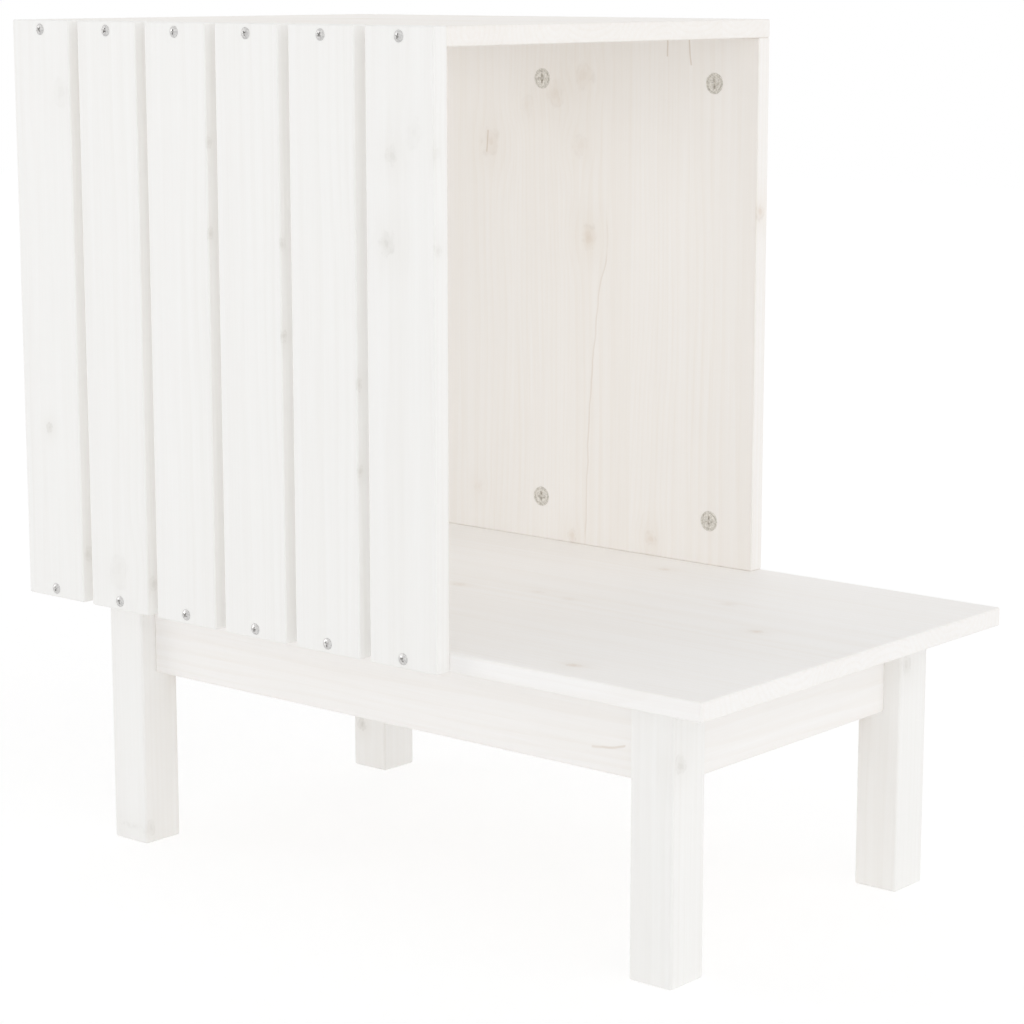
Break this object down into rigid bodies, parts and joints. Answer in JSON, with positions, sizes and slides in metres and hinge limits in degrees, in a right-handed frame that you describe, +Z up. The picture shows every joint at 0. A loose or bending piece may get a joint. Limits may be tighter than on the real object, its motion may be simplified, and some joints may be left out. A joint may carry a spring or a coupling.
{
  "type": "cat house",
  "caption": "Raised wooden cat house: a den open at both ends, with a slatted side, a solid wall and a flat top, on a platform with a porch, square legs and aprons.",
  "frame": {"origin": "on the floor, under the middle of the object's box", "axes": "+Z up, -Y towards the open front and porch, -X towards the slatted side"},
  "size_m": [0.3619, 0.6, 0.6],
  "materials": {
    "white_stained_pine": "thin white stain over pine, matte",
    "bare_pine": "planed, untreated",
    "beech": "turned and fluted, untreated",
    "zinc_plated_steel": "bright zinc plate",
    "cast_zinc": "dull die-cast zinc"
  },
  "bodies": {
    "house": {"platform_board": "white_stained_pine", "top_board": "white_stained_pine", "right_wall": "white_stained_pine", "side_slat_1": "white_stained_pine", "side_slat_2": "white_stained_pine", "side_slat_3": "white_stained_pine", "side_slat_4": "white_stained_pine", "side_slat_5": "white_stained_pine", "side_slat_6": "white_stained_pine", "leg_front_left": "white_stained_pine", "leg_front_right": "white_stained_pine", "leg_rear_left": "white_stained_pine", "leg_rear_right": "white_stained_pine", "apron_left": "white_stained_pine", "apron_right": "white_stained_pine", "apron_front": "white_stained_pine", "apron_rear": "white_stained_pine", "corner_block_front_left": "bare_pine", "corner_block_front_right": "bare_pine", "corner_block_rear_left": "bare_pine", "corner_block_rear_right": "bare_pine", "wall_dowels": "beech", "apron_dowels": "beech", "slat_screws_top": "zinc_plated_steel", "slat_screws_bottom": "zinc_plated_steel", "cam_bolts": "zinc_plated_steel", "hanger_bolts": "zinc_plated_steel", "hanger_washers": "zinc_plated_steel", "hanger_nuts": "zinc_plated_steel", "block_screws": "zinc_plated_steel", "platform_screws": "zinc_plated_steel"},
    "cam_top_front": {"cam_top_front": "cast_zinc"},
    "cam_top_middle": {"cam_top_middle": "cast_zinc"},
    "cam_top_rear": {"cam_top_rear": "cast_zinc"},
    "cam_bottom_front": {"cam_bottom_front": "cast_zinc"},
    "cam_bottom_middle": {"cam_bottom_middle": "cast_zinc"},
    "cam_bottom_rear": {"cam_bottom_rear": "cast_zinc"}
  },
  "joints": [
    {"name": "cam_top_front_turn", "type": "hinge", "parent": "house", "child": "cam_top_front", "pos_m": [0.1745, -0.059, 0.554], "axis": [-1, 0, 0], "range_deg": [0, 180]},
    {"name": "cam_top_middle_turn", "type": "hinge", "parent": "house", "child": "cam_top_middle", "pos_m": [0.1745, 0.102, 0.554], "axis": [-1, 0, 0], "range_deg": [0, 180]},
    {"name": "cam_top_rear_turn", "type": "hinge", "parent": "house", "child": "cam_top_rear", "pos_m": [0.1745, 0.263, 0.554], "axis": [-1, 0, 0], "range_deg": [0, 180]},
    {"name": "cam_bottom_front_turn", "type": "hinge", "parent": "house", "child": "cam_bottom_front", "pos_m": [0.1745, -0.059, 0.233], "axis": [-1, 0, 0], "range_deg": [0, 180]},
    {"name": "cam_bottom_middle_turn", "type": "hinge", "parent": "house", "child": "cam_bottom_middle", "pos_m": [0.1745, 0.102, 0.233], "axis": [-1, 0, 0], "range_deg": [0, 180]},
    {"name": "cam_bottom_rear_turn", "type": "hinge", "parent": "house", "child": "cam_bottom_rear", "pos_m": [0.1745, 0.263, 0.233], "axis": [-1, 0, 0], "range_deg": [0, 180]}
  ]
}
